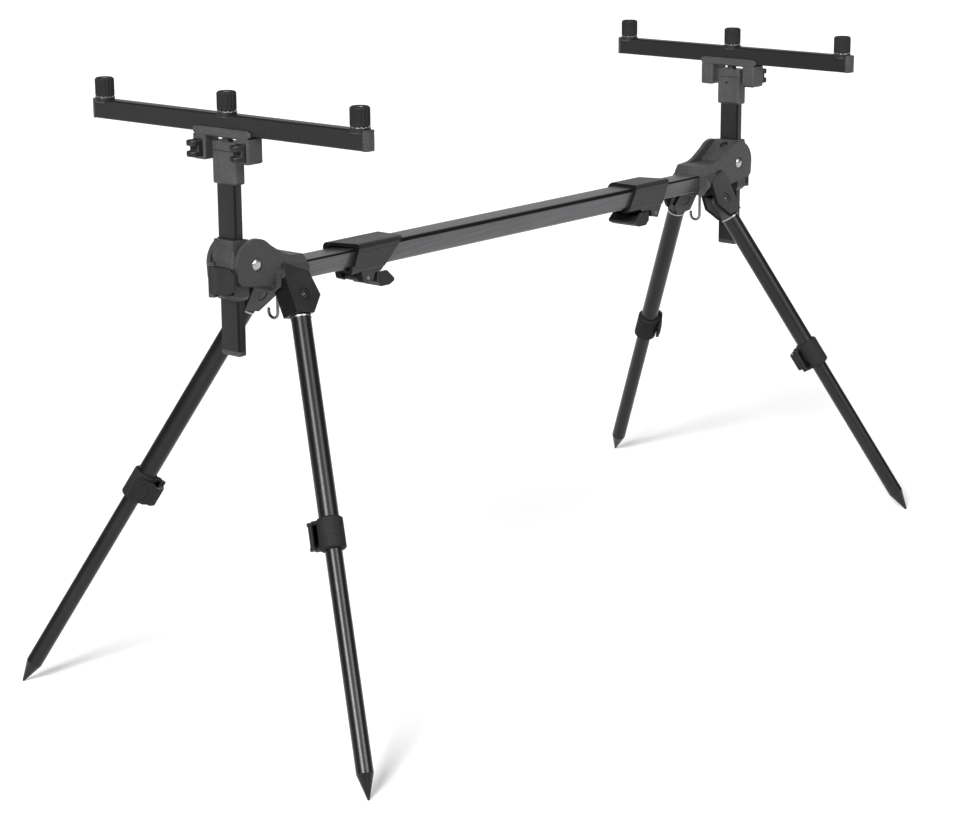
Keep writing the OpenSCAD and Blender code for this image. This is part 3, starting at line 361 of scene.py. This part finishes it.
# Width of the rounded edges in millimetres, by kind of piece; the others keep their own edges
ROUNDING = {
    "bar_clamp": 0.8, "clamp_pins": 0.2, "bar_lever": 0.8,
    "head": 0.9, "head_fasteners": 0.25,
    "post_collar": 0.9, "post_lever": 1.2, "post_cap": 1.4, "post_foot": 0.6,
    "saddle": 1.2, "release_buttons": 0.9, "buzz_bar": 0.15, "buzz_ends": 0.8,
    "inserts": 0.2, "knob_left": 0.25, "knob_middle": 0.25, "knob_right": 0.25,
    "knuckle": 0.4, "upper_leg": 0.15, "lock": 0.6, "lock_lever": 0.6, "lower_leg": 0.15,
}


def kind_of(node):
    """A node's name without the leg or end that it belongs to."""
    for place in (*LEGS, *ENDS):
        if node.startswith(place + "_"):
            return node.removeprefix(place + "_")
    return node


def trim(shape, point, beyond):
    """Cuts away what lies beyond a plane and closes the cut."""
    cut = bmesh.ops.bisect_plane(
        shape, geom=shape.verts[:] + shape.edges[:] + shape.faces[:], dist=CUT_GAP,
        plane_co=point, plane_no=beyond, clear_outer=True,
    )
    rim = [item for item in cut["geom_cut"] if isinstance(item, bmesh.types.BMEdge)]
    bmesh.ops.triangle_fill(shape, use_beauty=True, edges=rim)
    bmesh.ops.recalc_face_normals(shape, faces=shape.faces)


def rounded(name, mesh, width, steps):
    """A copy of a mesh with its edges rounded in the edge finish."""
    work = linked(name, mesh)
    rounding = work.modifiers.new("rounding", "BEVEL")
    rounding.width = width
    rounding.segments = steps
    rounding.limit_method = "ANGLE"
    rounding.angle_limit = EDGE_ANGLE
    rounding.use_clamp_overlap = True
    rounding.material = EDGE_INDEX
    shading = work.modifiers.new("shading", "WEIGHTED_NORMAL")
    shading.keep_sharp = True
    return plain_mesh(work)


def softened(node, others=(), trims=(), steps=2):
    """Replaces a node by a merged copy with rounded edges.

    Others pairs a finish with a test: faces whose middle and normal pass it take that finish.
    Each trim is a point and an outward direction: what lies beyond is cut away and closed."""
    kind, slot = kind_of(node), SLOT_OF[node]
    main, edge = FINISHES_OF_KIND.get(kind, FINISHES_OF_SLOT[slot])
    mesh = NODES[node].data.copy()
    mesh.materials.clear()
    for finish in (main, edge, *(finish for finish, _ in others)):
        mesh.materials.append(finish)
    shape = bmesh.new()
    shape.from_mesh(mesh)
    bmesh.ops.remove_doubles(shape, verts=shape.verts, dist=MERGE_GAP)
    for point, beyond in trims:
        trim(shape, point, beyond)
    bmesh.ops.dissolve_limit(shape, angle_limit=FLAT_ANGLE, verts=shape.verts, edges=shape.edges)
    for face in shape.faces:
        middle = face.calc_center_median()
        passed = [
            index
            for index, (_, test) in enumerate(others, OTHERS_INDEX)
            if test(middle, face.normal)
        ]
        face.material_index = passed[0] if passed else MAIN_INDEX
        face.smooth = True
    shape.to_mesh(mesh)
    shape.free()
    mesh.set_sharp_from_angle(angle=EDGE_ANGLE)
    if kind in ROUNDING:
        mesh = rounded(node + "_work", mesh, ROUNDING[kind] * MM, steps)
    mesh.name = node + "_soft"
    piece(node + "_soft", mesh, BODY_OF[node], slot, node)


# Shares of a face's normal that tell the faces of a piece apart, among them the faces that take painted shade
CORNER_LOW, CORNER_HIGH, CORNER_ALONG = 0.25, 0.97, 0.2
CLAMP_MOUTH_TURN = -0.6
YOKE_SIDE_TURN = 0.55
YOKE_FACE_TURN = 0.6
# How far the faces of a yoke lie from its hinge pin, and how high above it
YOKE_REACH, YOKE_RISE = 32 * MM, 14 * MM
# Radii that tell pins and bores from what lies round them
HINGE_PIN_R = 4 * MM
INSERT_BORE_R = 6.2 * MM
POST_LEVER_PIN_R = 1.9 * MM
LOCK_LEVER_PIN_R = 1.45 * MM
# Raked ends of the clamp sleeves: what is cut off at the top, and the lean over the height
CLAMP_SLEEVE_H = 24 * MM
FRONT_CLAMP_CUT, FRONT_CLAMP_LEAN = 10.5 * MM, 26 * MM
REAR_CLAMP_CUT, REAR_CLAMP_LEAN = 0.5 * MM, 12 * MM
REAR_MOUTH_CUT, REAR_MOUTH_LEAN = 26 * MM, 14 * MM
# Pieces of an end that take one finish
EVEN_KINDS = (
    "post_collar", "post_cap", "post_foot", "saddle", "release_buttons", "buzz_ends", "bar_lever",
    *(f"knob_{place}" for place in KNOB_PLACES),
)


def tube_corner(across, along):
    """Whether a face lies on a tube's corner, by the shares of its normal."""
    return CORNER_LOW < across < CORNER_HIGH and abs(along) < CORNER_ALONG


def clamp_trims(end):
    """Raked ends of a clamp sleeve, which lean towards the rear at the top."""
    low, high = reach(f"{end}_bar_clamp", BAR_WAY)
    top = reach(f"{end}_bar_clamp", POST_WAY)[1]

    def raked(along, lean, facing):
        beyond = (BAR_WAY * CLAMP_SLEEVE_H - POST_WAY * lean).normalized() * facing
        return BAR_WAY * along + POST_WAY * top, beyond

    if end == "front":
        return [raked(high - FRONT_CLAMP_CUT, FRONT_CLAMP_LEAN, 1)]
    return [
        raked(high - REAR_CLAMP_CUT, REAR_CLAMP_LEAN, 1),
        raked(low + REAR_MOUTH_CUT, REAR_MOUTH_LEAN, -1),
    ]


def soften_centre():
    """Centre bar: the upper corners of both bars take a dark line of painted shade, and the clamp sleeves' end
    faces near-black painted shade.
    """
    def upper_corner(_, normal):
        return tube_corner(normal.dot(POST_WAY), normal.dot(BAR_WAY))

    # End faces of the clamp sleeves take near-black painted shade
    def clamp_mouth(_, normal):
        return normal.dot(BAR_WAY) < CLAMP_MOUTH_TURN

    for node in ("centre_tube", "front_inner_bar", "rear_inner_bar"):
        softened(node, [(BAR_CORNER_SHADE, upper_corner)])
    for end in ENDS:
        softened(f"{end}_bar_clamp", [(PAINTED_SHADE, clamp_mouth)], clamp_trims(end))
    softened("clamp_pins")


def soften_end(end):
    """One end: the hinge pins are dark, the inserts bright only inside their black flanges; the yoke sides and
    post corners take near-black painted shade, and the front yoke faces a darker painted shade.
    """
    pins = [axis_of(f"{end}_{side}_leg_fold") for side in SIDES]
    bores = [spot_of(f"{end}_knob_{place}_turn") for place in KNOB_PLACES]
    lever_axis = axis_of(f"{end}_post_lever_hinge")

    def in_yoke(middle):
        gaps = [middle - spot for spot, _ in pins]
        return any(gap.length < YOKE_REACH and gap.dot(POST_WAY) < YOKE_RISE for gap in gaps)

    # Yoke sides, where the slot between the yoke walls lies in shade, take near-black painted shade
    def yoke_side(middle, normal):
        return in_yoke(middle) and abs(normal.dot(BAR_WAY)) > YOKE_SIDE_TURN

    # Outward yoke faces: the front ones take painted shade
    def yoke_face(middle, normal):
        return in_yoke(middle) and normal.y * middle.y > 0 and abs(normal.y) > YOKE_FACE_TURN

    def hinge_pin(middle, _):
        return any(off_axis(middle, *pin) < HINGE_PIN_R for pin in pins)

    def insert_flange(middle, _):
        return all(off_axis(middle, bore, POST_WAY) > INSERT_BORE_R for bore in bores)

    def lever_pin(middle, _):
        return off_axis(middle, *lever_axis) < POST_LEVER_PIN_R

    # Corners of the post take a near-black line of painted shade
    def post_corner(_, normal):
        return tube_corner(abs(normal.dot(BAR_WAY)), normal.dot(POST_WAY))

    for kind in EVEN_KINDS:
        softened(f"{end}_{kind}")
    # The front yoke faces take painted shade, the rear ones the plain charcoal
    yoke_face_tone = YOKE_FACE_SHADE if end == "front" else CHARCOAL
    softened(f"{end}_head", [(PAINTED_SHADE, yoke_side), (yoke_face_tone, yoke_face)])
    softened(f"{end}_head_fasteners", [(BLACK, hinge_pin)])
    softened(f"{end}_inserts", [(BLACK, insert_flange)])
    softened(f"{end}_post_lever", [(DULL_STEEL, lever_pin)], steps=3)
    softened(f"{end}_post", [(PAINTED_SHADE, post_corner)])
    softened(f"{end}_buzz_bar")
    softened(f"{end}_hook")


def soften_leg(leg):
    """One leg: the pin in its lock lever is steel."""
    lever_axis = axis_of(f"{leg}_lock_lever_hinge")

    def lever_pin(middle, _):
        return off_axis(middle, *lever_axis) < LOCK_LEVER_PIN_R

    softened(f"{leg}_knuckle")
    softened(f"{leg}_lock")
    softened(f"{leg}_lock_lever", [(DULL_STEEL, lever_pin)])
    softened(f"{leg}_upper_leg")
    softened(f"{leg}_lower_leg")


# Small fittings that repeat
FITTING_EDGE_ANGLE = math.radians(35)
RING_PROUD = 0.3 * MM
RING_BAND = {"thickness": 0.5 * MM, "height": 1.4 * MM}
RIVET_DROP = 10 * MM
RIVET_SIDE = Vector((-0.85, -0.5, 0))
LEG_RIVET = {"radius": 1.2 * MM, "rim": 0.2 * MM, "crown": 0.3}
PIN_CORE_R = 3 * MM
PIN_POINT = {"radius": 0.8 * MM, "rim": 0.15 * MM, "crown": 0.4}
DIMPLE_PLUG = {"radius": 5.95 * MM, "crown": 0.15, "collar": 5.6 * MM, "rim": 0.35 * MM}
FOOT_SCREW_RISE = 1.5 * MM
FOOT_SCREW = {"radius": 1.3 * MM, "rim": 0.2 * MM, "crown": 0.25}
CAP_SCREW_RISE, CAP_SCREW_ASIDE = 1 * MM, Vector((0, 2 * MM, 0))
CAP_SCREW = {"radius": 1.5 * MM, "rim": 0.25 * MM, "crown": 0.2}
CROWN_DROP = 0.4 * MM
KNOB_CROWN = {
    "radius": 8.1 * MM, "count": 14, "depth": 1.6 * MM, "width": 2.2 * MM, "height": 0.6 * MM,
}
THREAD_DROP = 9 * MM
INSERT_THREAD = {"radius": 4.25 * MM, "turns": 9.0, "height": 8.4 * MM, "ridge": 0.3 * MM}


def fitting_tree(name, shape, sizes):
    """Geometry Nodes that put one small shape on every point, turned to the point's facing."""
    tree = bpy.data.node_groups.new(name, "GeometryNodeTree")
    face = tree.interface
    face.new_socket("Points", in_out="INPUT", socket_type="NodeSocketGeometry")
    for label, value in sizes.items():
        kind = "NodeSocketInt" if isinstance(value, int) else "NodeSocketFloat"
        face.new_socket(label, in_out="INPUT", socket_type=kind)
    face.new_socket("Finish", in_out="INPUT", socket_type="NodeSocketMaterial")
    face.new_socket("Fittings", in_out="OUTPUT", socket_type="NodeSocketGeometry")
    new, link = tree.nodes.new, tree.links.new
    given, out = new("NodeGroupInput"), new("NodeGroupOutput")

    def made(kind, **values):
        node = new(kind)
        for key, value in values.items():
            socket = node.inputs[key.replace("_", " ")]
            if isinstance(value, bpy.types.NodeSocket):
                link(value, socket)
            else:
                socket.default_value = value
        return node

    one = shape(made, {label: given.outputs[label] for label in sizes})
    facing = made("GeometryNodeInputNamedAttribute", Name="facing")
    facing.data_type = "FLOAT_VECTOR"
    turn = made("FunctionNodeAlignRotationToVector", Vector=facing.outputs["Attribute"])
    turn.axis = "Z"
    put = made(
        "GeometryNodeInstanceOnPoints", Points=given.outputs["Points"], Instance=one,
        Rotation=turn.outputs["Rotation"],
    )
    whole = made("GeometryNodeRealizeInstances", Geometry=put.outputs["Instances"])
    coat = made(
        "GeometryNodeSetMaterial", Geometry=whole.outputs["Geometry"],
        Material=given.outputs["Finish"],
    )
    link(coat.outputs["Geometry"], out.inputs["Fittings"])
    return tree


def swept(made, path, section):
    """A section swept along a path."""
    return made(
        "GeometryNodeCurveToMesh", Curve=path.outputs["Curve"],
        Profile_Curve=section.outputs["Curve"],
    ).outputs["Mesh"]


def rimmed_dome(made, size, share, rim_r, dome_steps, rim_steps):
    """Low dome inside a round rim, both half sunk in their seat.

    Share is the dome's width as a part of its radius; the steps are the dome's sides and rows
    and the rim's sides round and across."""
    sides, rows = dome_steps
    ball = made("GeometryNodeMeshUVSphere", Segments=sides, Rings=rows, Radius=size["Radius"])
    flat = made("ShaderNodeCombineXYZ", X=share, Y=share, Z=size["Crown"])
    dome = made(
        "GeometryNodeTransform", Geometry=ball.outputs["Mesh"], Scale=flat.outputs["Vector"]
    )
    around, across = rim_steps
    circle = made("GeometryNodeCurvePrimitiveCircle", Resolution=around, Radius=rim_r)
    section = made("GeometryNodeCurvePrimitiveCircle", Resolution=across, Radius=size["Rim"])
    whole = made("GeometryNodeJoinGeometry")
    for part in (dome.outputs["Geometry"], swept(made, circle, section)):
        whole.id_data.links.new(part, whole.inputs["Geometry"])
    return whole.outputs["Geometry"]


def rivet(made, size):
    """Rivet or screw head: a turned rim with a low dome inside it."""
    return rimmed_dome(
        made, size, share=0.72, rim_r=size["Radius"], dome_steps=(20, 10), rim_steps=(24, 6)
    )


def plug(made, size):
    """Low plug that fills a round dimple: a flat dome with a moulded rim."""
    return rimmed_dome(
        made, size, share=1.0, rim_r=size["Collar"], dome_steps=(40, 16), rim_steps=(40, 8)
    )


def band(made, size):
    """Flat ring round an axis."""
    circle = made("GeometryNodeCurvePrimitiveCircle", Resolution=48, Radius=size["Radius"])
    section = made(
        "GeometryNodeCurvePrimitiveQuadrilateral", Width=size["Thickness"], Height=size["Height"]
    )
    return swept(made, circle, section)


def teeth(made, size):
    """Crown of short blocks round an axis."""
    circle = made("GeometryNodeMeshCircle", Vertices=size["Count"], Radius=size["Radius"])
    block_size = made(
        "ShaderNodeCombineXYZ", X=size["Depth"], Y=size["Width"], Z=size["Height"]
    )
    block = made("GeometryNodeMeshCube", Size=block_size.outputs["Vector"])
    place = made("GeometryNodeInputPosition")
    turn = made("FunctionNodeAlignRotationToVector", Vector=place.outputs["Position"])
    turn.axis = "X"
    return made(
        "GeometryNodeInstanceOnPoints", Points=circle.outputs["Mesh"],
        Instance=block.outputs["Mesh"], Rotation=turn.outputs["Rotation"],
    ).outputs["Instances"]


def thread(made, size):
    """Screw thread: a fine ridge wound up the inside of a bore."""
    wound = made(
        "GeometryNodeCurveSpiral", Resolution=20, Rotations=size["Turns"],
        Start_Radius=size["Radius"], End_Radius=size["Radius"], Height=size["Height"],
    )
    ridge = made("GeometryNodeCurvePrimitiveCircle", Resolution=4, Radius=size["Ridge"])
    return swept(made, wound, ridge)


def fittings(name, body, slot, finish, shape, places, **sizes):
    """Places one shape at each (spot, facing) and keeps the result as a plain mesh on a body."""
    points = bpy.data.meshes.new(name + "_points")
    points.from_pydata([spot for spot, _ in places], [], [])
    facing = points.attributes.new("facing", "FLOAT_VECTOR", "POINT")
    for item, (_, way) in zip(facing.data, places):
        item.vector = way
    sizes = {label.capitalize(): value for label, value in sizes.items()}
    tree = fitting_tree(name + "_tree", shape, sizes)
    work = linked(name + "_work", points)
    maker = work.modifiers.new("maker", "NODES")
    maker.node_group = tree
    given = {**sizes, "Finish": finish}
    for item in tree.interface.items_tree:
        if item.in_out == "INPUT" and item.name in given:
            maker[item.identifier] = given[item.name]
    mesh = plain_mesh(work)
    mesh.name = name
    for face in mesh.polygons:
        face.use_smooth = True
    mesh.set_sharp_from_angle(angle=FITTING_EDGE_ANGLE)
    piece(name, mesh, body, slot)


def leg_fittings(leg):
    """Bright ring between knuckle and tube, and the rivet below it."""
    down = -way_of(f"{leg}_leg_slide")
    hinge = spot_of(f"{leg}_leg_fold")
    tube_top = reach(f"{leg}_upper_leg", down, hinge)[0]
    tube_r = max(off_axis(corner, hinge, down) for corner in corners_of(f"{leg}_upper_leg"))
    ring_middle = hinge + down * (tube_top - RING_BAND["height"] / 2)
    fittings(
        f"{leg}_ring_band", f"{leg}_leg", "bright_steel", STEEL, band,
        [(ring_middle, down)], radius=tube_r + RING_PROUD, **RING_BAND,
    )
    side = RIVET_SIDE * (1 if leg.startswith("rear") else -1)
    side = (side - down * side.dot(down)).normalized()
    rivet_spot = hinge + down * (tube_top + RIVET_DROP) + side * tube_r
    fittings(
        f"{leg}_rivet", f"{leg}_leg", "bright_steel", DARK_STEEL, rivet,
        [(rivet_spot, side)], **LEG_RIVET,
    )


def end_fittings(end):
    """Points and plugs in the yoke dimples, screws, knob crowns and insert threads."""
    inward = BAR_WAY * (-1 if end == "rear" else 1)
    outer, inner = [], []
    for side in SIDES:
        spot, way = axis_of(f"{end}_{side}_leg_fold")
        half = max(
            abs((corner - spot).dot(way))
            for corner in corners_of(f"{end}_head_fasteners")
            if off_axis(corner, spot, way) < PIN_CORE_R
        )
        out = way if way.y * spot.y > 0 else -way
        outer.append((spot + out * half, out))
        inner.append((spot - out * half, -out))
    fittings(
        f"{end}_dimple_plugs", f"{end}_end", "charcoal_plastic", CHARCOAL, plug,
        inner, **DIMPLE_PLUG,
    )
    fittings(
        f"{end}_pin_points", f"{end}_end", "bright_steel", STEEL, rivet,
        outer, **PIN_POINT,
    )
    foot = sum(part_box(f"{end}_post_foot"), Vector()) / 2
    foot_face = foot + inward * reach(f"{end}_post_foot", inward, foot)[1]
    fittings(
        f"{end}_foot_screw", f"{end}_post", "bright_steel", DARK_STEEL, rivet,
        [(foot_face + POST_WAY * FOOT_SCREW_RISE, inward)], **FOOT_SCREW,
    )
    cap = sum(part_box(f"{end}_post_cap"), Vector()) / 2
    cap_face = cap + inward * reach(f"{end}_post_cap", inward, cap)[1]
    fittings(
        f"{end}_cap_screw", f"{end}_post", "bright_steel", DARK_STEEL, rivet,
        [(cap_face + POST_WAY * CAP_SCREW_RISE + CAP_SCREW_ASIDE, inward)], **CAP_SCREW,
    )
    knobs = [spot_of(f"{end}_knob_{place}_turn") for place in KNOB_PLACES]
    middle_knob = spot_of(f"{end}_knob_middle_turn")
    crown_rise = reach(f"{end}_knob_middle", POST_WAY, middle_knob)[0] - CROWN_DROP
    fittings(
        f"{end}_knob_crowns", f"{end}_buzz", "bright_steel", STEEL, teeth,
        [(knob + POST_WAY * crown_rise, POST_WAY) for knob in knobs], **KNOB_CROWN,
    )
    thread_rise = reach(f"{end}_inserts", POST_WAY, middle_knob)[1] - THREAD_DROP
    fittings(
        f"{end}_insert_threads", f"{end}_buzz", "bright_steel", STEEL, thread,
        [(knob + POST_WAY * thread_rise, POST_WAY) for knob in knobs], **INSERT_THREAD,
    )


for node, made in NODES.items():
    made.data.materials.clear()
    made.data.materials.append(FINISHES_OF_SLOT[SLOT_OF[node]][0])
soften_centre()
for end in ENDS:
    soften_end(end)
    end_fittings(end)
for leg in LEGS:
    soften_leg(leg)
    leg_fittings(leg)


# Stage, light and camera
FLOOR_HALF = 30.0
WHITE = (1, 1, 1, 1)
# Level of the surroundings: brightest straight behind the pod, as the photograph sees it
GLOW_WAY = Vector((0.7, 0.64, 0.25))
GLOW = {"From Min": 0.5, "From Max": 0.95, "To Min": 0.1, "To Max": 0.6}


def floor():
    """White paper under the pod, which takes its shadows and sends no light back to it."""
    low, high = -FLOOR_HALF, FLOOR_HALF
    mesh = bpy.data.meshes.new("floor")
    mesh.from_pydata(
        [(low, low, 0), (high, low, 0), (high, high, 0), (low, high, 0)], [], [(0, 1, 2, 3)]
    )
    made = linked("floor", mesh)
    made.visible_diffuse = False
    paper = Finish("floor_paper", specular=0.1)
    paper.shader.inputs["Emission Color"].default_value = WHITE
    paper.shader.inputs["Emission Strength"].default_value = 0.3
    tone = paper.blend(paper.noise(scale=3), (0.86, 0.86, 0.86), (0.88, 0.88, 0.88))
    grain = paper.bump(paper.noise(scale=60), depth=0.1 * MM, strength=0.1)
    mesh.materials.append(paper.finish(tone, 0.9, grain))


def sun(name, toward, strength, spread, sheen_only=False):
    """A distant soft light; toward points from the pod to the light, spread is in degrees."""
    lamp = bpy.data.lights.new(name, "SUN")
    lamp.energy, lamp.angle = strength, math.radians(spread)
    made = linked(name, lamp)
    made.rotation_euler = (-Vector(toward)).to_track_quat("-Z", "Y").to_euler()
    made.visible_diffuse = not sheen_only


def studio():
    """White surroundings and three suns."""
    world = bpy.data.worlds.new("studio")
    bpy.context.scene.world = world
    world.use_nodes = True
    nodes, link = world.node_tree.nodes, world.node_tree.links.new
    sky = nodes["Background"]
    sky.inputs["Color"].default_value = WHITE
    way = nodes.new("ShaderNodeTexCoord")
    glow = nodes.new("ShaderNodeVectorMath")
    glow.operation = "DOT_PRODUCT"
    glow.inputs[1].default_value = GLOW_WAY.normalized()
    level = nodes.new("ShaderNodeMapRange")
    for label, value in GLOW.items():
        level.inputs[label].default_value = value
    link(way.outputs["Generated"], glow.inputs[0])
    link(glow.outputs["Value"], level.inputs["Value"])
    link(level.outputs["Result"], sky.inputs["Strength"])
    sun("key", toward=(-0.8, -0.25, 0.6), strength=4.0, spread=22)
    sun("fill", toward=(-0.3, -0.8, 0.5), strength=0.8, spread=40)
    sun("sheen", toward=(0.04, -0.84, 0.54), strength=1.6, spread=22, sheen_only=True)


def camera():
    """The photograph's view: place in metres, axes in the part's frame, shifts by the width."""
    place = Vector((-1.96399, -1.7088, 0.98541))
    ahead = Vector((0.709348, 0.64046, -0.294341))
    up = Vector((0.250028, 0.161803, 0.954623))
    right = ahead.cross(up).normalized()
    lens = bpy.data.cameras.new("camera")
    lens.sensor_width = 36.0
    lens.lens = 97.822
    lens.shift_x, lens.shift_y = 0.02801, 0.01976
    lens.clip_end = 100.0
    made = linked("camera", lens)
    turn = Matrix((right, right.cross(ahead), -ahead)).transposed()
    made.matrix_world = Matrix.Translation(place) @ turn.to_4x4()
    bpy.context.scene.camera = made


floor()
studio()
camera()
bpy.context.scene.view_settings.view_transform = "Standard"
